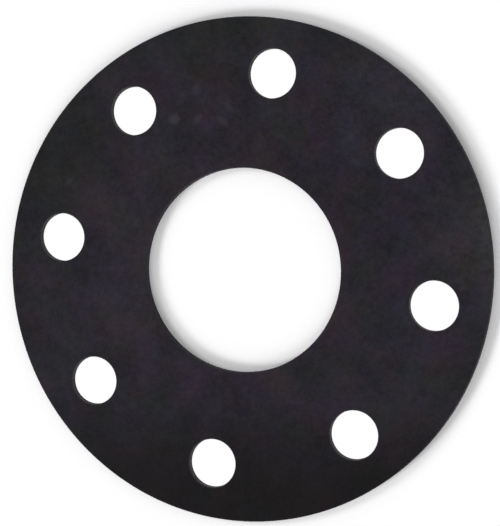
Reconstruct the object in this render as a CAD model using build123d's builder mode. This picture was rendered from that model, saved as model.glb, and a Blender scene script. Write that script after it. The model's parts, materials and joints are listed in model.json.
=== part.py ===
from build123d import *
import os

# Full-face rubber gasket for a DN 65 (2 1/2 inch) PN 16 pipe flange, in millimetres.
# One flat disc punched out of black rubber sheet. The rim, the bore and the bolt holes are cut
# square to the sheet, so their walls are true cylinders. The punch leaves a small round on the
# edges where it goes in, on the upper face. Where it comes out, on the lower face, they are sharp.
# The origin is the centre of the bore on the lower face, with +Z up through the bore.

# Sheet and outline
sheet_thickness = 3.0
outside_diameter = 185.0
bore_diameter = 75.0

# Bolt holes: evenly spaced, with no hole on the X or Y axis, as pipe flanges are drilled
bolt_circle_diameter = 145.0
bolt_hole_diameter = 18.0
bolt_hole_count = 8
first_hole_angle = 180 / bolt_hole_count

# Round left by the punch on the cut edges of the upper face
entry_round = 0.30

os.makedirs("parts", exist_ok=True)

with BuildPart() as flange_gasket:
    # The disc, with its bore
    with BuildSketch() as ring:
        Circle(radius=outside_diameter / 2)
        Circle(radius=bore_diameter / 2, mode=Mode.SUBTRACT)
    extrude(amount=sheet_thickness)

    # The bolt holes, punched down from the upper face
    upper_face = flange_gasket.faces().sort_by(Axis.Z)[-1]
    with Locations(Plane(upper_face)):
        with PolarLocations(bolt_circle_diameter / 2, bolt_hole_count, start_angle=first_hole_angle):
            Hole(radius=bolt_hole_diameter / 2)

    # The upper cut edges of the rim, the bore and the holes
    upper_edges = flange_gasket.edges().filter_by(GeomType.CIRCLE).group_by(Axis.Z)[-1]
    fillet(upper_edges, radius=entry_round)

flange_gasket.part.label = "flange_gasket"
export_step(flange_gasket.part, "parts/flange_gasket.step")
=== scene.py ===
"""A full-face rubber gasket for a pipe flange, lying flat on a white table.

The gasket is one disc punched out of a calendered sheet of black rubber. It is modelled by hand as
one eighth of the disc round one bolt hole, which is then swept round, given its thickness, and
rounded where the punch went in.
"""

import json
import logging
import math
from collections.abc import Callable, Iterator
from contextlib import contextmanager
from dataclasses import dataclass
from enum import Enum

import bmesh
import bpy
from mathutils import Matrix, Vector


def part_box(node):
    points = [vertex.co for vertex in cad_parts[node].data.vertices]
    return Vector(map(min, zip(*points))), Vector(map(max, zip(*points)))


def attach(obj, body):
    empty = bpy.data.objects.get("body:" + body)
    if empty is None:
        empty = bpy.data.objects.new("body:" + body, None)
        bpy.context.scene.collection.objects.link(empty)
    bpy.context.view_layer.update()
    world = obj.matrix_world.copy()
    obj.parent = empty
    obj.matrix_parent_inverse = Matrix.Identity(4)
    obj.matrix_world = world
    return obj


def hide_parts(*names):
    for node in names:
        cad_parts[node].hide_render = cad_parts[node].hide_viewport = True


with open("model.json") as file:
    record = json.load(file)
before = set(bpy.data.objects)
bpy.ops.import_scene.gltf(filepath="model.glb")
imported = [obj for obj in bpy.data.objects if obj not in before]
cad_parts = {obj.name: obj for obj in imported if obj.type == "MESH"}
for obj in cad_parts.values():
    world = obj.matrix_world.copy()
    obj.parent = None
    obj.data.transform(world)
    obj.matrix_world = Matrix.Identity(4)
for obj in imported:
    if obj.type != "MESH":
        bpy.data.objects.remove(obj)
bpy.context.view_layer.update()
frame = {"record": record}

log = logging.getLogger("gasket")

MM = 0.001
PURE_WHITE = "#FFFFFF"
# The light that white paper throws back, a little less than it is given
PAPER_WHITE = "#E7E7E7"
RUBBER_IOR = 1.52
# Between these lie most of the values of a broad noise, and of a fine one
BROAD_NOISE = (0.35, 0.65)
FINE_NOISE = (0.3, 0.7)


class MarkKind(Enum):
    """What a mark on the sheet looks like."""

    SCUFF = "greyer than the sheet"
    NICK = "blacker than the sheet"


class Dress(Enum):
    """The two finishes of the gasket, by their place in its list of materials."""

    SHEET = 0
    CUT = 1


def linear(hex_colour: str) -> tuple[float, float, float, float]:
    """Turn an sRGB colour into the linear one that a shader takes.

    Args:
        hex_colour: the colour as #RRGGBB.

    Returns:
        Red, green, blue and an alpha of 1.
    """
    parts = [int(hex_colour[i : i + 2], 16) / 255 for i in (1, 3, 5)]
    red, green, blue = (p / 12.92 if p <= 0.04045 else ((p + 0.055) / 1.055) ** 2.4 for p in parts)
    return (red, green, blue, 1.0)


def per_metre(millimetres: float) -> float:
    """Give the scale of a pattern whose features are this many millimetres across."""
    return 1 / (millimetres * MM)


def add_node(
    tree: bpy.types.NodeTree,
    kind: str,
    inputs: dict[str | int, object] | None = None,
    **settings: object,
) -> bpy.types.Node:
    """Add a node with its settings, and with its sockets set or linked.

    Args:
        tree: the node tree that the node goes into.
        kind: the node's type.
        inputs: a value, or the output socket to link, for each socket by name or number.
        **settings: the node's own properties.

    Returns:
        The new node.
    """
    node = tree.nodes.new(kind)
    for name, value in settings.items():
        setattr(node, name, value)
    for name, value in (inputs or {}).items():
        if isinstance(value, bpy.types.NodeSocket):
            tree.links.new(value, node.inputs[name])
        else:
            node.inputs[name].default_value = value
    return node


def empty_material(name: str) -> tuple[bpy.types.Material, bpy.types.NodeTree]:
    """Start a material with no nodes.

    Args:
        name: what the real finish is.

    Returns:
        The material and its node tree.
    """
    material = bpy.data.materials.new(name)
    material.use_nodes = True
    material.node_tree.nodes.clear()
    return material, material.node_tree


def deselect_all() -> None:
    """Leave no object selected, so that an operator acts only on what comes next."""
    bpy.ops.object.select_all(action="DESELECT")


def take_up(piece: bpy.types.Object) -> None:
    """Select one object alone and make it the active one.

    Args:
        piece: the object.
    """
    deselect_all()
    piece.select_set(True)
    bpy.context.view_layer.objects.active = piece


@contextmanager
def editing(piece: bpy.types.Object, by: str = "FACE") -> Iterator[None]:
    """Hold an object in edit mode.

    Args:
        piece: the object to work on.
        by: what is selected there, VERT, EDGE or FACE.

    Yields:
        Nothing, while the object is in edit mode.
    """
    take_up(piece)
    bpy.ops.object.mode_set(mode="EDIT")
    bpy.ops.mesh.select_mode(type=by)
    try:
        yield
    finally:
        bpy.ops.object.mode_set(mode="OBJECT")


def pick(piece: bpy.types.Object, kind: str, wanted: Callable[[object], bool]) -> None:
    """Select what passes a test, and nothing else, on an object in edit mode.

    Args:
        piece: the object in edit mode.
        kind: verts, edges or faces.
        wanted: the test.
    """
    bpy.ops.mesh.select_all(action="DESELECT")
    mesh = bmesh.from_edit_mesh(piece.data)
    found = [item for item in getattr(mesh, kind) if wanted(item)]
    for item in found:
        item.select_set(True)
    mesh.select_flush_mode()
    bmesh.update_edit_mesh(piece.data, loop_triangles=False, destructive=False)


def apply_modifier(piece: bpy.types.Object, kind: str, **settings: object) -> None:
    """Add a modifier with its settings and apply it.

    Args:
        piece: the object that takes it.
        kind: the modifier's type.
        **settings: the modifier's own properties.
    """
    take_up(piece)
    modifier = piece.modifiers.new(kind.title(), kind)
    for name, value in settings.items():
        setattr(modifier, name, value)
    bpy.ops.object.modifier_apply(modifier=modifier.name)


def middle(face: bmesh.types.BMFace) -> Vector:
    """Give the middle of a face."""
    return face.calc_center_median()


@dataclass(frozen=True)
class Mark:
    """A small mark that handling left on the upper face.

    Its length and width run from its middle, in millimetres on the face, and its turn is in degrees.
    """

    kind: MarkKind
    place: tuple[float, float]
    length: float
    width: float
    turn: float = 0.0
    strength: float = 1.0


@dataclass(frozen=True)
class Patch:
    """A broad patch where the sheet is greyer or blacker, in millimetres on the sheet."""

    colour: str
    place: tuple[float, float]
    reach: float
    strength: float


def finish_rubber(
    tree: bpy.types.NodeTree,
    colour: bpy.types.NodeSocket,
    pattern: bpy.types.NodeSocket,
    depth_mm: float,
    roughness: tuple[float, float],
    specular: float,
) -> None:
    """Give a rubber surface its relief and its dull shine, both from one fine pattern.

    Args:
        tree: the material's nodes.
        colour: the colour.
        pattern: the fine pattern, low in its hollows and high on its ridges.
        depth_mm: how deep the pattern is.
        roughness: how rough the hollows and the ridges are.
        specular: how much shine is left.
    """
    low, high = FINE_NOISE
    hollows, ridges = roughness
    dullness = add_node(
        tree,
        "ShaderNodeMapRange",
        {
            "Value": pattern,
            "From Min": low,
            "From Max": high,
            "To Min": hollows,
            "To Max": ridges,
        },
    )
    relief = add_node(
        tree,
        "ShaderNodeBump",
        {"Strength": 1.0, "Distance": depth_mm * MM, "Height": pattern},
    )
    shader = add_node(
        tree,
        "ShaderNodeBsdfPrincipled",
        {
            "Base Color": colour,
            "Roughness": dullness.outputs["Result"],
            "IOR": RUBBER_IOR,
            "Specular IOR Level": specular,
            "Normal": relief.outputs["Normal"],
        },
    )
    add_node(tree, "ShaderNodeOutputMaterial", {"Surface": shader.outputs["BSDF"]})


@dataclass(frozen=True)
class CalenderedRubber:
    """The faces of black EPDM sheet, rolled out between steel rolls.

    The rolls leave a matte, almost even black, with a fine grain that takes the shine off. The black
    turns a little violet or a little green from place to place. One side of the rim is drawn darker, as
    painted shade. Broad patches are greyer or blacker, the greyer ones at the right of the rim as
    painted sheen, and small marks are greyer where dust and fingers rubbed it.
    """

    name: str = "black EPDM sheet, calendered"
    violet_black: str = "#231C26"
    green_black: str = "#1F1F22"
    painted_shade_black: str = "#100D0F"
    scuff_grey: str = "#36343A"
    nick_black: str = "#100F11"
    roughness: tuple[float, float] = (0.74, 0.86)
    specular: float = 0.10
    hue_patch_mm: float = 16.0
    # The noise that makes the sheet all violet, and all green
    hue_limits: tuple[float, float] = (0.36, 0.68)
    # How far out the violet begins to leave the black, and the rim, where it has mostly gone
    violet_to_mm: float = 58.0
    rim_mm: float = 92.0
    # How far towards green the hue is moved up to there, and at the rim
    green_shift: tuple[float, float] = (-0.06, 0.40)
    # How broad the drift of the tint is, and how far red, green and blue each go
    tint_mm: float = 12.0
    tint_depths: tuple[float, float, float] = (0.145, 0.05, 0.145)
    mottle_mm: float = 22.0
    mottle_depth: float = 0.42
    # The side of the rim that is darkened as painted shade: its direction, and how far out it begins
    # and is full
    painted_shade_side: float = 257.0
    painted_shade_from_mm: float = 44.0
    painted_shade_to_mm: float = 82.0
    # Broad patches, by their middle and reach: greyer at the right of the rim and towards the upper
    # right, as painted sheen, greyer round the bore, and blacker towards the upper left and the top
    patches: tuple[Patch, ...] = (
        # Painted sheen: greyer at the right of the rim
        Patch("#302D31", (100.0, -9.0), 37.0, 1.0),
        Patch("#171817", (-72.0, 71.0), 58.0, 0.80),
        Patch("#1D1E1D", (12.0, 102.0), 46.0, 0.80),
        Patch("#2A252D", (-14.0, 4.0), 66.0, 0.65),
        # Painted sheen: greyer towards the upper right
        Patch("#2A272F", (68.0, 45.0), 32.0, 0.85),
    )
    # The real grain is about 0.3 mm across and 0.02 mm deep, drawn at about twice that so that it shows
    grain_mm: float = 0.6
    grain_depth_mm: float = 0.045
    # Where a mark has faded out, and where it is full, as shares of its length and width
    mark_edge: tuple[float, float] = (1.25, 0.35)
    # A mark reaches this far up and down, so that it stays on its own face
    mark_reach_mm: float = 1.0
    marks: tuple[Mark, ...] = (
        Mark(MarkKind.SCUFF, (-12.7, 60.0), 2.6, 2.2, 0.0, 0.72),
        Mark(MarkKind.SCUFF, (-3.9, 57.7), 2.9, 1.5, 29.0, 0.42),
        Mark(MarkKind.SCUFF, (5.3, 54.9), 2.9, 1.5, -48.0, 0.45),
        Mark(MarkKind.SCUFF, (-1.7, 68.6), 2.4, 1.8, 77.0, 0.42),
        Mark(MarkKind.SCUFF, (-7.8, 67.1), 2.6, 1.8, 77.0, 0.28),
        Mark(MarkKind.SCUFF, (9.2, 58.8), 2.7, 1.2, -60.0, 0.34),
        Mark(MarkKind.SCUFF, (-59.1, 47.6), 2.4, 1.1, 30.0, 0.32),
        Mark(MarkKind.SCUFF, (56.8, 6.6), 1.6, 0.9, 0.0, 0.20),
        Mark(MarkKind.NICK, (3.7, 52.0), 1.7, 0.5, -13.0, 0.6),
        Mark(MarkKind.NICK, (12.3, 54.2), 0.9, 0.5, 77.0, 0.6),
        Mark(MarkKind.NICK, (15.6, 59.7), 1.4, 0.6, 5.0, 0.7),
        Mark(MarkKind.NICK, (51.4, 10.3), 1.6, 0.7, -50.0, 0.4),
        Mark(MarkKind.NICK, (54.2, 7.1), 1.1, 0.8, -10.0, 0.4),
        Mark(MarkKind.NICK, (53.1, 2.9), 1.3, 0.6, 5.0, 0.4),
    )

    def hue(self, tree: bpy.types.NodeTree, place: bpy.types.NodeSocket) -> bpy.types.NodeSocket:
        """Make the black turn from violet to green over broad patches, and towards the rim.

        Args:
            tree: the material's nodes.
            place: the point on the sheet.

        Returns:
            The colour.
        """
        patches = add_node(
            tree,
            "ShaderNodeTexNoise",
            {
                "Vector": place,
                "Scale": per_metre(self.hue_patch_mm),
                "Detail": 3.0,
                "Roughness": 0.6,
            },
        )
        all_violet, all_green = self.hue_limits
        turned = add_node(
            tree,
            "ShaderNodeMapRange",
            {"Value": patches.outputs["Fac"], "From Min": all_violet, "From Max": all_green},
        )
        out = add_node(tree, "ShaderNodeVectorMath", {0: place}, operation="LENGTH")
        inner_shift, rim_shift = self.green_shift
        faded = add_node(
            tree,
            "ShaderNodeMapRange",
            {
                "Value": out.outputs["Value"],
                "From Min": self.violet_to_mm * MM,
                "From Max": self.rim_mm * MM,
                "To Min": inner_shift,
                "To Max": rim_shift,
            },
        )
        greener = add_node(
            tree,
            "ShaderNodeMath",
            {0: turned.outputs["Result"], 1: faded.outputs["Result"]},
            operation="ADD",
            use_clamp=True,
        )
        black = add_node(
            tree,
            "ShaderNodeMix",
            {
                "Factor": greener.outputs["Value"],
                "A": linear(self.violet_black),
                "B": linear(self.green_black),
            },
            data_type="RGBA",
        )
        return black.outputs["Result"]

    def broad_tone(
        self,
        tree: bpy.types.NodeTree,
        place: bpy.types.NodeSocket,
        colour: bpy.types.NodeSocket,
    ) -> bpy.types.NodeSocket:
        """Darken the colour along one side as painted shade, and make it greyer or blacker in broad
        patches, the greyer ones at the right of the rim as painted sheen.

        Args:
            tree: the material's nodes.
            place: the point on the sheet.
            colour: the colour so far.

        Returns:
            The colour.
        """
        side = math.radians(self.painted_shade_side)
        along = add_node(
            tree,
            "ShaderNodeVectorMath",
            {0: place, 1: (math.cos(side), math.sin(side), 0.0)},
            operation="DOT_PRODUCT",
        )
        # Painted shade: the colour darkens towards one side of the rim
        shade_share = add_node(
            tree,
            "ShaderNodeMapRange",
            {
                "Value": along.outputs["Value"],
                "From Min": self.painted_shade_from_mm * MM,
                "From Max": self.painted_shade_to_mm * MM,
            },
            interpolation_type="SMOOTHSTEP",
        )
        shaded = add_node(
            tree,
            "ShaderNodeMix",
            {
                "Factor": shade_share.outputs["Result"],
                "A": colour,
                "B": linear(self.painted_shade_black),
            },
            data_type="RGBA",
        )
        tone = shaded.outputs["Result"]
        for patch in self.patches:
            apart = add_node(
                tree,
                "ShaderNodeVectorMath",
                {0: place, 1: (patch.place[0] * MM, patch.place[1] * MM, 0.0)},
                operation="DISTANCE",
            )
            cover = add_node(
                tree,
                "ShaderNodeMapRange",
                {
                    "Value": apart.outputs["Value"],
                    "From Min": patch.reach * MM,
                    "From Max": 0.0,
                    "To Max": patch.strength,
                },
                interpolation_type="SMOOTHSTEP",
            )
            patched = add_node(
                tree,
                "ShaderNodeMix",
                {"Factor": cover.outputs["Result"], "A": tone, "B": linear(patch.colour)},
                data_type="RGBA",
            )
            tone = patched.outputs["Result"]
        return tone

    def mottle(
        self,
        tree: bpy.types.NodeTree,
        place: bpy.types.NodeSocket,
        colour: bpy.types.NodeSocket,
    ) -> bpy.types.NodeSocket:
        """Make the tone uneven, alike from broad clouds down to small flecks.

        Args:
            tree: the material's nodes.
            place: the point on the sheet.
            colour: the colour so far.

        Returns:
            The colour.
        """
        clouds = add_node(
            tree,
            "ShaderNodeTexNoise",
            {
                "Vector": place,
                "Scale": per_metre(self.mottle_mm),
                "Detail": 5.0,
                "Roughness": 0.95,
            },
        )
        low, high = BROAD_NOISE
        level = add_node(
            tree,
            "ShaderNodeMapRange",
            {
                "Value": clouds.outputs["Fac"],
                "From Min": low,
                "From Max": high,
                "To Min": 1 - self.mottle_depth,
                "To Max": 1 + self.mottle_depth,
            },
        )
        uneven = add_node(
            tree,
            "ShaderNodeVectorMath",
            {0: colour, "Scale": level.outputs["Result"]},
            operation="SCALE",
        )
        drift = add_node(
            tree,
            "ShaderNodeTexNoise",
            {
                "Vector": place,
                "Scale": per_metre(self.tint_mm),
                "Detail": 3.0,
                "Roughness": 0.7,
            },
        )
        tint = add_node(
            tree,
            "ShaderNodeMapRange",
            {
                "Vector": drift.outputs["Color"],
                "From Min": (low, low, low),
                "From Max": (high, high, high),
                "To Min": tuple(1 - depth for depth in self.tint_depths),
                "To Max": tuple(1 + depth for depth in self.tint_depths),
            },
            data_type="FLOAT_VECTOR",
        )
        tinted = add_node(
            tree,
            "ShaderNodeVectorMath",
            {0: uneven.outputs["Vector"], 1: tint.outputs["Vector"]},
            operation="MULTIPLY",
        )
        return tinted.outputs["Vector"]

    def add_mark(
        self,
        tree: bpy.types.NodeTree,
        place: bpy.types.NodeSocket,
        colour: bpy.types.NodeSocket,
        mark: Mark,
        face_height: float,
    ) -> bpy.types.NodeSocket:
        """Lay one mark over the colour.

        Args:
            tree: the material's nodes.
            place: the point on the sheet.
            colour: the colour so far.
            mark: the mark.
            face_height: the height of the upper face, in metres.

        Returns:
            The colour.
        """
        across = add_node(
            tree,
            "ShaderNodeMapping",
            {
                "Vector": place,
                "Location": (mark.place[0] * MM, mark.place[1] * MM, face_height),
                "Rotation": (0.0, 0.0, math.radians(mark.turn)),
                "Scale": (mark.length * MM, mark.width * MM, self.mark_reach_mm * MM),
            },
            vector_type="TEXTURE",
        )
        apart = add_node(
            tree,
            "ShaderNodeVectorMath",
            {0: across.outputs["Vector"]},
            operation="LENGTH",
        )
        faded_out, full = self.mark_edge
        cover = add_node(
            tree,
            "ShaderNodeMapRange",
            {
                "Value": apart.outputs["Value"],
                "From Min": faded_out,
                "From Max": full,
                "To Max": mark.strength,
            },
            interpolation_type="SMOOTHSTEP",
        )
        over = self.scuff_grey if mark.kind is MarkKind.SCUFF else self.nick_black
        marked = add_node(
            tree,
            "ShaderNodeMix",
            {"Factor": cover.outputs["Result"], "A": colour, "B": linear(over)},
            data_type="RGBA",
        )
        return marked.outputs["Result"]

    def build(self, face_height: float) -> bpy.types.Material:
        """Make the material.

        Args:
            face_height: the height of the upper face, in metres.

        Returns:
            The material.
        """
        material, tree = empty_material(self.name)
        place = add_node(tree, "ShaderNodeTexCoord").outputs["Object"]
        colour = self.hue(tree, place)
        colour = self.broad_tone(tree, place, colour)
        colour = self.mottle(tree, place, colour)
        for mark in self.marks:
            colour = self.add_mark(tree, place, colour, mark, face_height)

        grain = add_node(
            tree,
            "ShaderNodeTexNoise",
            {"Vector": place, "Scale": per_metre(self.grain_mm), "Detail": 2.0, "Roughness": 0.55},
        ).outputs["Fac"]
        finish_rubber(tree, colour, grain, self.grain_depth_mm, self.roughness, self.specular)
        return material


@dataclass(frozen=True)
class PunchedRubber:
    """The cut walls of the same sheet, where a steel punch went through it.

    The blade leaves the wall smoother than the faces, with fine upright drag lines. Its colour is a
    little blacker than the faces, as painted shade.
    """

    name: str = "black EPDM sheet, punched edge"
    # Blacker than the faces, as painted shade on the walls
    shaded_cut_black: str = "#1B191D"
    streak_black: str = "#242126"
    roughness: tuple[float, float] = (0.54, 0.72)
    specular: float = 0.20
    # The real drag lines are about 0.2 mm apart, drawn wider so that they show
    drag_line_mm: float = 0.5
    drag_length_mm: float = 6.0
    drag_depth_mm: float = 0.030

    def build(self) -> bpy.types.Material:
        """Make the material.

        Returns:
            The material.
        """
        material, tree = empty_material(self.name)
        place = add_node(tree, "ShaderNodeTexCoord").outputs["Object"]
        squash = self.drag_line_mm / self.drag_length_mm
        drawn_out = add_node(
            tree,
            "ShaderNodeMapping",
            {"Vector": place, "Scale": (1.0, 1.0, squash)},
        )
        drag = add_node(
            tree,
            "ShaderNodeTexNoise",
            {
                "Vector": drawn_out.outputs["Vector"],
                "Scale": per_metre(self.drag_line_mm),
                "Detail": 2.0,
                "Roughness": 0.6,
            },
        ).outputs["Fac"]
        colour = add_node(
            tree,
            "ShaderNodeMix",
            {
                "Factor": drag,
                "A": linear(self.shaded_cut_black),
                "B": linear(self.streak_black),
            },
            data_type="RGBA",
        ).outputs["Result"]
        finish_rubber(tree, colour, drag, self.drag_depth_mm, self.roughness, self.specular)
        return material


def background_rays(tree: bpy.types.NodeTree) -> bpy.types.NodeSocket:
    """Tell the rays that show the background: straight, in a reflection, or through glass.

    Args:
        tree: the node tree that asks.

    Returns:
        A value of 1 for those rays and 0 for the light that falls on things.
    """
    path = add_node(tree, "ShaderNodeLightPath")
    direct = add_node(
        tree,
        "ShaderNodeMath",
        {0: path.outputs["Is Camera Ray"], 1: path.outputs["Is Glossy Ray"]},
        operation="MAXIMUM",
    )
    through = add_node(
        tree,
        "ShaderNodeMath",
        {0: direct.outputs["Value"], 1: path.outputs["Is Transmission Ray"]},
        operation="MAXIMUM",
    )
    return through.outputs["Value"]


@dataclass(frozen=True)
class WhitePaper:
    """Matte white paper under the gasket.

    It shows pure white wherever the lamps reach it, and grey only in the gasket's shadow. It throws
    back a little less light than it shows, as paper does.
    """

    name: str = "matte white paper"
    shown: str = PURE_WHITE
    thrown_back: str = PAPER_WHITE

    def build(self) -> bpy.types.Material:
        """Make the material.

        Returns:
            The material.
        """
        material, tree = empty_material(self.name)
        colour = add_node(
            tree,
            "ShaderNodeMix",
            {
                "Factor": background_rays(tree),
                "A": linear(self.thrown_back),
                "B": linear(self.shown),
            },
            data_type="RGBA",
        )
        shader = add_node(
            tree,
            "ShaderNodeBsdfDiffuse",
            {"Color": colour.outputs["Result"]},
        )
        add_node(tree, "ShaderNodeOutputMaterial", {"Surface": shader.outputs["BSDF"]})
        return material


@dataclass(frozen=True)
class PlainWhite:
    """The paper seen through a bolt hole, which glows pure white to the camera as painted light, in
    shadow too.
    """

    name: str = "white paper in a bolt hole"
    shown: str = PURE_WHITE
    thrown_back: str = PAPER_WHITE

    def build(self) -> bpy.types.Material:
        """Make the material.

        Returns:
            The material.
        """
        material, tree = empty_material(self.name)
        paper = add_node(tree, "ShaderNodeBsdfDiffuse", {"Color": linear(self.thrown_back)})
        # Painted light: to the camera the dot glows pure white, so the shadow in the hole never shows
        white = add_node(tree, "ShaderNodeEmission", {"Color": linear(self.shown), "Strength": 1.0})
        shown = add_node(
            tree,
            "ShaderNodeMixShader",
            {
                "Fac": background_rays(tree),
                1: paper.outputs["BSDF"],
                2: white.outputs["Emission"],
            },
        )
        add_node(tree, "ShaderNodeOutputMaterial", {"Surface": shown.outputs["Shader"]})
        return material


@dataclass(frozen=True)
class MapSheet:
    """How the gasket's surface lies on the unit square that its painted maps fill.

    The upper face lies in the lower left corner, as large as it can be. The lower face, which is
    seldom seen, lies smaller in the opposite corner, and the cut walls lie unrolled in rows in the
    two corners between them. Widths are shares of the square.
    """

    name: str = "OFBake"
    gap: float = 0.005
    upper_width: float = 0.74
    lower_width: float = 0.42
    # Squares for each metre of wall, and the height of one row with its gap
    wall_scale: float = 6.2
    row_height: float = 0.028
    column_width: float = 0.189

    @property
    def upper_middle(self) -> float:
        """Give the middle of the upper face, the same across and up."""
        return self.gap / 2 + self.upper_width / 2

    @property
    def lower_middle(self) -> float:
        """Give the middle of the lower face, the same across and up."""
        return 1 - self.gap / 2 - self.lower_width / 2

    @property
    def edge_of_upper(self) -> float:
        """Give where the upper face ends and the rows beside it and above it begin."""
        return self.upper_width + 2 * self.gap

    def beside(self, row: int) -> Vector:
        """Give the corner of one row beside the upper face."""
        return Vector((self.edge_of_upper, self.gap + row * self.row_height))

    def above(self, row: int, column: int) -> Vector:
        """Give the corner of one row, in one of three columns, above the upper face."""
        across = self.gap / 2 + column * self.column_width
        return Vector((across, self.edge_of_upper + self.gap + row * self.row_height))


@dataclass(frozen=True)
class WallStrip:
    """One stretch of cut wall: the round it follows and where it starts, there and on the map.

    Seen from its open side, a strip runs to the right. That is anticlockwise, turn 1, on the rim
    and clockwise, turn -1, in the openings.
    """

    centre: Vector
    radius: float
    start: float
    turn: int
    corner: Vector


@dataclass
class FlangeGasket:
    """The gasket, one piece of soft rubber sheet.

    Every length is in metres. The sheet lies on z = 0, with the bore's centre on the Z axis.
    """

    bore_radius: float
    outside_radius: float
    thickness: float
    bolt_circle_radius: float
    hole_radius: float
    hole_count: int
    entry_round: float = 0.30 * MM
    # The punch drags the wall in a little between its edges
    wall_hollow: float = 0.05 * MM
    # Rubber sheet never lies quite flat
    wave_height: float = 0.20 * MM
    wave_length: float = 70.0 * MM
    # Cells across the sheet and round one sector, and across the patch round its hole
    cells: int = 32
    hole_cells: int = 18
    # A hole's collar: a narrow ring for the round of the cut edge, then a wider one
    collar: tuple[float, float] = (0.9 * MM, 1.1 * MM)
    bridge_cuts: int = 3
    round_segments: int = 4
    wall_cuts: int = 4
    # The wall's hollow is made in two steps, each so many cuts to both sides and so large a share
    hollow_steps: tuple[tuple[float, float], ...] = ((1.6, 0.6), (0.6, 0.4))
    # Places nearer than these are taken as one
    touching: float = 0.01 * MM
    angle_touching: float = 0.001
    # How far from a round edge a place may be and still count as on it
    edge_reach: float = 1.0 * MM
    # How upright a flat face's normal is at least, which no facet of a round is, and a wall's at most
    flat_normal: float = 0.99
    wall_normal: float = 0.5
    # Where the surface turns by more degrees than this, its shading has an edge
    shading_turn: float = 35.0
    map_sheet: MapSheet = MapSheet()

    @classmethod
    def from_frame(cls) -> "FlangeGasket":
        """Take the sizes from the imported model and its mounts.

        Returns:
            The gasket at the size that the model has.
        """
        low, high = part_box("flange_gasket")
        mounts = {mount["name"]: mount["dims"] for mount in frame["record"]["mounts"]}
        holes = mounts["bolt_holes"]
        return cls(
            bore_radius=mounts["bore"]["r_mm"] * MM,
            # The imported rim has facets, which make its box a little narrower than the true round
            outside_radius=round((high.x - low.x) / 2, 4),
            thickness=high.z - low.z,
            bolt_circle_radius=holes["pcd_mm"] / 2 * MM,
            hole_radius=holes["hole_r_mm"] * MM,
            hole_count=holes["count"],
        )

    @property
    def sector(self) -> float:
        """Give the angle that one bolt hole has to itself, in radians."""
        return math.tau / self.hole_count

    @property
    def cell_length(self) -> float:
        """Give the length of one cell of the sheet from bore to rim."""
        return (self.outside_radius - self.bore_radius) / self.cells

    def lay_sector(self) -> bpy.types.Object:
        """Lay one sector of the flat sheet, its middle on the X axis.

        Returns:
            The sector, a patch of cells from the bore out to the rim.
        """
        deselect_all()
        bpy.ops.mesh.primitive_circle_add(
            vertices=self.cells * self.hole_count,
            radius=self.bore_radius,
            rotation=(0, 0, math.pi / 2),
            calc_uvs=False,
        )
        piece = bpy.context.object
        piece.name = "gasket_sheet"
        bpy.ops.object.transform_apply(location=False, rotation=True, scale=False)
        quarter_cell = self.sector / self.cells / 4
        reach = self.sector / 2 + quarter_cell
        with editing(piece, "VERT"):
            pick(piece, "verts", lambda v: abs(math.atan2(v.co.y, v.co.x)) > reach)
            bpy.ops.mesh.delete(type="VERT")
            bpy.ops.mesh.select_mode(type="EDGE")
            bpy.ops.mesh.select_all(action="SELECT")
            for ring in range(self.cells):
                radius = self.bore_radius + ring * self.cell_length
                grown = (radius + self.cell_length) / radius
                bpy.ops.mesh.extrude_edges_move()
                bpy.ops.transform.resize(value=(grown, grown, 1), center_override=(0, 0, 0))
        return piece

    def punch_hole(self, piece: bpy.types.Object) -> None:
        """Open a patch of the sector and work it in to the round of the bolt hole.

        Args:
            piece: the sector.
        """
        half = self.hole_cells // 2
        nearest = round((self.bolt_circle_radius - self.bore_radius) / self.cell_length)
        inner = self.bore_radius + (nearest - half) * self.cell_length
        outer = self.bore_radius + (nearest + half) * self.cell_length
        spread = half * self.sector / self.cells

        def in_patch(face: bmesh.types.BMFace) -> bool:
            """Tell whether a cell is in the patch."""
            at = middle(face)
            return inner < at.xy.length < outer and abs(math.atan2(at.y, at.x)) < spread

        with editing(piece):
            pick(piece, "faces", in_patch)
            bpy.ops.mesh.delete(type="FACE")
            bpy.ops.mesh.select_mode(type="EDGE")
            bpy.ops.mesh.select_all(action="DESELECT")
            # Turned so that it starts at a corner of the patch
            bpy.ops.mesh.primitive_circle_add(
                vertices=4 * self.hole_cells,
                radius=self.hole_radius,
                location=(self.bolt_circle_radius, 0, 0),
                rotation=(0, 0, math.pi / 4),
                calc_uvs=False,
            )
            radius = self.hole_radius
            for width in self.collar:
                grown = (radius + width) / radius
                bpy.ops.mesh.extrude_edges_move()
                bpy.ops.transform.resize(
                    value=(grown, grown, 1),
                    center_override=(self.bolt_circle_radius, 0, 0),
                )
                radius += width

            def open_round_hole(edge: bmesh.types.BMEdge) -> bool:
                """Tell whether an edge is one of the two open loops that face each other.

                Args:
                    edge: the edge.

                Returns:
                    True on the outside of the collar and on the border of the patch.
                """
                at = (edge.verts[0].co + edge.verts[1].co) / 2
                from_hole = (at.xy - Vector((self.bolt_circle_radius, 0))).length
                past_bore = at.xy.length > self.bore_radius + self.edge_reach
                within_rim = at.xy.length < self.outside_radius - self.edge_reach
                in_sector = abs(math.atan2(at.y, at.x)) < self.sector / 2 - self.angle_touching
                off_hole = from_hole > self.hole_radius + self.edge_reach
                return edge.is_boundary and past_bore and within_rim and in_sector and off_hole

            pick(piece, "edges", open_round_hole)
            bpy.ops.mesh.bridge_edge_loops(number_cuts=self.bridge_cuts, interpolation="LINEAR")

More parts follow.
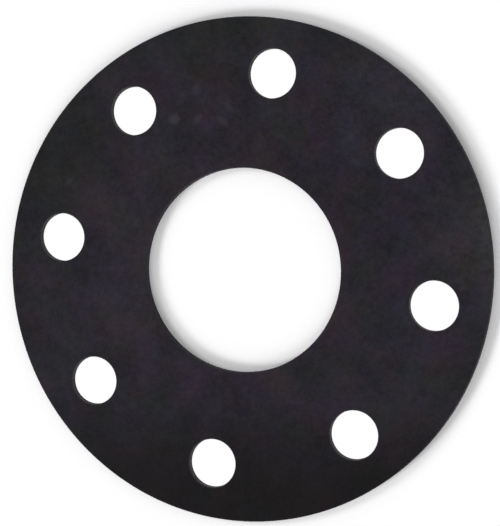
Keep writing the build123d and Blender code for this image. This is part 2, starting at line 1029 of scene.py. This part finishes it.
    def sweep_round(self, piece: bpy.types.Object) -> None:
        """Copy the sector round the bore, join the copies and turn the disc to its place.

        Args:
            piece: the sector, which becomes the whole flat disc.
        """
        with editing(piece):
            bpy.ops.mesh.select_all(action="SELECT")
            bpy.ops.mesh.spin(
                steps=self.hole_count,
                angle=math.tau,
                dupli=True,
                use_auto_merge=False,
                center=(0, 0, 0),
                axis=(0, 0, 1),
            )
            bpy.ops.mesh.select_all(action="SELECT")
            bpy.ops.mesh.remove_doubles(threshold=self.touching)
            bpy.ops.transform.rotate(
                value=self.sector / 2,
                orient_axis="Z",
                center_override=(0, 0, 0),
            )
            bpy.ops.mesh.select_all(action="SELECT")
            bpy.ops.mesh.normals_make_consistent(inside=False)
            faces_up = sum(f.normal.z for f in bmesh.from_edit_mesh(piece.data).faces) > 0
            if not faces_up:
                bpy.ops.mesh.flip_normals()

    def thicken(self, piece: bpy.types.Object) -> None:
        """Give the flat disc its thickness, down to z = 0.

        Args:
            piece: the flat disc.
        """
        with editing(piece):
            bpy.ops.mesh.select_all(action="SELECT")
            bpy.ops.transform.translate(value=(0, 0, self.thickness))
        apply_modifier(piece, "SOLIDIFY", thickness=self.thickness, offset=-1.0)

    def is_entry_edge(self, edge: bmesh.types.BMEdge) -> bool:
        """Tell whether an edge is where a cut wall meets the upper face.

        Args:
            edge: the edge.

        Returns:
            True where one of the edge's faces is the upper face and the other is a wall.
        """
        if any(abs(v.co.z - self.thickness) > self.touching for v in edge.verts):
            return False
        walls = [f for f in edge.link_faces if abs(f.normal.z) < self.wall_normal]
        return len(walls) == 1 and len(edge.link_faces) == 2

    def round_edges(self, piece: bpy.types.Object) -> None:
        """Round the edges where the punch went in, and hollow the walls under them.

        Args:
            piece: the thick disc.
        """
        with editing(piece, "EDGE"):
            pick(piece, "edges", self.is_entry_edge)
            bpy.ops.mesh.bevel(
                offset=self.entry_round,
                segments=self.round_segments,
                profile=0.5,
                affect="EDGES",
            )
            wall_height = self.thickness - self.entry_round

            def is_upright(edge: bmesh.types.BMEdge) -> bool:
                """Tell whether an edge runs the whole height of a wall."""
                rise = abs(edge.verts[0].co.z - edge.verts[1].co.z)
                return rise > wall_height - self.touching

            pick(piece, "edges", is_upright)
            bpy.ops.mesh.subdivide(number_cuts=self.wall_cuts)
            step = wall_height / (self.wall_cuts + 1)
            waist = wall_height / 2
            for cuts, share in self.hollow_steps:
                pick(piece, "verts", lambda v: abs(v.co.z - waist) < cuts * step)
                bpy.ops.transform.shrink_fatten(value=-self.wall_hollow * share)

    def strip_of(self, at: Vector) -> WallStrip:
        """Find the strip of cut wall that a place is on.

        Args:
            at: the middle of a face of a wall or a round.

        Returns:
            Half a sector's rim, a sector's bore, or one side of a bolt hole.
        """
        axis = Vector((0, 0))
        angle = math.atan2(at.y, at.x) % math.tau
        if at.xy.length > self.outside_radius - self.edge_reach:
            half = self.sector / 2
            step = int(angle / half)
            corner = self.map_sheet.beside(step)
            return WallStrip(axis, self.outside_radius, step * half, 1, corner)
        row = int(angle / self.sector)
        if at.xy.length < self.bore_radius + self.edge_reach:
            corner = self.map_sheet.above(row, 0)
            return WallStrip(axis, self.bore_radius, (row + 1) * self.sector, -1, corner)
        outward = (row + 0.5) * self.sector
        centre = self.bolt_circle_radius * Vector((math.cos(outward), math.sin(outward)))
        from_centre = at.xy - centre
        around = (math.atan2(from_centre.y, from_centre.x) - outward) % math.tau
        side = int(around / math.pi)
        corner = self.map_sheet.above(row, 1 + side)
        return WallStrip(centre, self.hole_radius, outward + (side + 1) * math.pi, -1, corner)

    def unroll(self, at: Vector, strip: WallStrip) -> Vector:
        """Give the place on the map of a point on a cut wall.

        Args:
            at: the point.
            strip: the strip that its face is on.

        Returns:
            The place, so far along the strip and so far up the wall and over its round.
        """
        reach = at.xy - strip.centre
        turned = strip.turn * (math.atan2(reach.y, reach.x) - strip.start)
        # A strip is half a turn long at most, so a quarter turn back is off it
        quarter = math.pi / 2
        along = (turned + quarter) % math.tau - quarter
        into_sheet = abs(reach.length - strip.radius)
        up = at.z + into_sheet * at.z / self.thickness
        return strip.corner + self.map_sheet.wall_scale * Vector((along * strip.radius, up))

    def lay_out_map(self, piece: bpy.types.Object) -> None:
        """Lay the surface out flat, face by face, for painted maps.

        Args:
            piece: the rounded disc.
        """
        sheet = self.map_sheet
        width = 2 * self.outside_radius
        with editing(piece):
            mesh = bmesh.from_edit_mesh(piece.data)
            layer = mesh.loops.layers.uv.new(sheet.name)
            for face in mesh.faces:
                is_wall = abs(face.normal.z) < self.flat_normal
                strip = self.strip_of(middle(face)) if is_wall else None
                for loop in face.loops:
                    at = loop.vert.co
                    if strip:
                        spot = self.unroll(at, strip)
                    elif face.normal.z > 0:
                        shift = Vector((sheet.upper_middle, sheet.upper_middle))
                        spot = shift + at.xy * sheet.upper_width / width
                    else:
                        shift = Vector((sheet.lower_middle, sheet.lower_middle))
                        spot = shift + Vector((-at.x, at.y)) * sheet.lower_width / width
                    loop[layer].uv = spot
            bmesh.update_edit_mesh(piece.data)

    def settle(self, piece: bpy.types.Object) -> None:
        """Let the sheet wave very slightly, and set it down on z = 0.

        Args:
            piece: the rounded disc.
        """
        wave = bpy.data.textures.new("sheet_wave", "CLOUDS")
        wave.noise_scale = self.wave_length
        wave.noise_depth = 0
        apply_modifier(
            piece,
            "DISPLACE",
            texture=wave,
            texture_coords="LOCAL",
            direction="Z",
            mid_level=0.5,
            strength=self.wave_height,
        )
        lowest = min(v.co.z for v in piece.data.vertices)
        piece.location.z = -lowest
        take_up(piece)
        bpy.ops.object.transform_apply(location=True, rotation=True, scale=True)

    def smooth(self, piece: bpy.types.Object) -> None:
        """Smooth the rounds and walls, and keep the faces flat up to them.

        Args:
            piece: the settled disc.
        """
        take_up(piece)
        bpy.ops.object.shade_smooth_by_angle(angle=math.radians(self.shading_turn))
        apply_modifier(piece, "WEIGHTED_NORMAL", keep_sharp=True, weight=100)

    def dress(self, piece: bpy.types.Object) -> None:
        """Give the faces the calendered finish and the cut walls the punched one.

        Args:
            piece: the finished disc.
        """
        finishes = {
            Dress.SHEET: CalenderedRubber().build(self.thickness),
            Dress.CUT: PunchedRubber().build(),
        }
        for place in Dress:
            piece.data.materials.append(finishes[place])
        with editing(piece):
            pick(piece, "faces", lambda f: abs(f.normal.z) < self.flat_normal)
            piece.active_material_index = Dress.CUT.value
            bpy.ops.object.material_slot_assign()

    def build(self) -> bpy.types.Object:
        """Model the gasket and dress it.

        Returns:
            The finished piece.
        """
        piece = self.lay_sector()
        self.punch_hole(piece)
        self.sweep_round(piece)
        self.thicken(piece)
        self.round_edges(piece)
        self.lay_out_map(piece)
        self.settle(piece)
        self.smooth(piece)
        self.dress(piece)
        return piece


@dataclass(frozen=True)
class Lamp:
    """A soft lamp that lights the table evenly.

    Azimuth is its side, from the X axis, elevation its height over the table, and spread how wide
    it looks from the table, all in degrees. Level is its share of a white table's brightness.
    """

    name: str
    azimuth: float
    elevation: float
    spread: float
    level: float

    def hang(self) -> None:
        """Hang the lamp in the scene."""
        up = math.radians(self.elevation)
        round_z = math.radians(self.azimuth)
        light = bpy.data.lights.new(self.name, "SUN")
        light.angle = math.radians(self.spread)
        # A lamp of strength pi, straight above a white table, makes it just pure white
        light.energy = self.level * math.pi / math.sin(up)
        lamp = bpy.data.objects.new(self.name, light)
        bpy.context.scene.collection.objects.link(lamp)
        towards = Vector(
            (
                math.cos(up) * math.cos(round_z),
                math.cos(up) * math.sin(round_z),
                math.sin(up),
            )
        )
        lamp.location = towards
        lamp.rotation_euler = (-towards).to_track_quat("-Z", "Y").to_euler()


@dataclass
class Studio:
    """A white table, a white room, soft lamps low on one side, and the camera.

    Lengths are in metres and angles in degrees, and the lens and its sensor are in millimetres. The
    table's top is z = 0.
    """

    table_half: float = 3.0
    dot_height: float = 0.02 * MM
    dot_sides: int = 96
    # The room's light has a trace of violet, which shows only in the shadows
    room_colour: str = "#FEFDFF"
    # The levels of the room and the lamps add up to a hair over 1, so the open table is pure white
    room_level: float = 0.51
    lamps: tuple[Lamp, ...] = (
        Lamp("left lamp", 199.0, 27.0, 16.0, 0.23),
        Lamp("near lamp", 257.0, 30.0, 34.0, 0.14),
        Lamp("far lamp", 150.0, 35.0, 20.0, 0.14),
    )
    camera_place: tuple[float, float, float] = (0.2072, -0.0171, 0.6170)
    camera_turn: tuple[float, float, float] = (-2.52, 18.24, -13.35)
    lens: float = 121.28
    sensor: float = 36.0
    nearest: float = 0.01

    def lay_table(self) -> None:
        """Lay the white paper that the gasket lies on."""
        deselect_all()
        bpy.ops.mesh.primitive_plane_add(size=2 * self.table_half, location=(0, 0, 0))
        table = bpy.context.object
        table.name = "table"
        table.data.materials.append(WhitePaper().build())

    def whiten_holes(self, gasket: FlangeGasket) -> None:
        """Lay a white dot in each bolt hole, which glows as painted light, so that no shadow shows
        there.

        Args:
            gasket: the gasket, for where its holes are.
        """
        white = PlainWhite().build()
        for number in range(gasket.hole_count):
            angle = (number + 0.5) * gasket.sector
            deselect_all()
            bpy.ops.mesh.primitive_circle_add(
                vertices=self.dot_sides,
                radius=gasket.hole_radius,
                fill_type="NGON",
                location=(
                    gasket.bolt_circle_radius * math.cos(angle),
                    gasket.bolt_circle_radius * math.sin(angle),
                    self.dot_height,
                ),
            )
            dot = bpy.context.object
            dot.name = f"paper_dot_{number + 1}"
            dot.data.materials.append(white)

    def light_room(self) -> None:
        """Give the room an even light, and show it plain white behind everything."""
        world = bpy.data.worlds.new("white room")
        bpy.context.scene.world = world
        world.use_nodes = True
        tree = world.node_tree
        tree.nodes.clear()
        is_shown = background_rays(tree)
        strength = add_node(
            tree,
            "ShaderNodeMapRange",
            {"Value": is_shown, "To Min": self.room_level, "To Max": 1.0},
        )
        colour = add_node(
            tree,
            "ShaderNodeMix",
            {"Factor": is_shown, "A": linear(self.room_colour), "B": linear(PURE_WHITE)},
            data_type="RGBA",
        )
        room = add_node(
            tree,
            "ShaderNodeBackground",
            {"Color": colour.outputs["Result"], "Strength": strength.outputs["Result"]},
        )
        add_node(tree, "ShaderNodeOutputWorld", {"Surface": room.outputs["Background"]})

    def place_camera(self) -> None:
        """Put the camera over the gasket, a little to one side."""
        data = bpy.data.cameras.new("camera")
        data.lens = self.lens
        data.sensor_width = self.sensor
        data.clip_start = self.nearest
        camera = bpy.data.objects.new("camera", data)
        bpy.context.scene.collection.objects.link(camera)
        camera.location = self.camera_place
        camera.rotation_euler = [math.radians(a) for a in self.camera_turn]
        bpy.context.scene.camera = camera

    def build(self, gasket: FlangeGasket) -> None:
        """Set the table, the light and the camera.

        Args:
            gasket: the gasket that lies on the table.
        """
        self.lay_table()
        self.whiten_holes(gasket)
        self.light_room()
        for lamp in self.lamps:
            lamp.hang()
        self.place_camera()
        bpy.context.scene.view_settings.view_transform = "Standard"


def main() -> None:
    """Build the gasket and its surroundings, and report each piece."""
    logging.basicConfig(level=logging.INFO, format="%(name)s: %(message)s")
    gasket = FlangeGasket.from_frame()
    piece = gasket.build()
    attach(piece, "root")
    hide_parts("flange_gasket")
    triangles = sum(len(p.vertices) - 2 for p in piece.data.polygons)
    log.info("%s: %d faces, %d triangles", piece.name, len(piece.data.polygons), triangles)
    Studio().build(gasket)
    log.info("table, lamps and camera are in place")


if __name__ == "__main__":
    main()
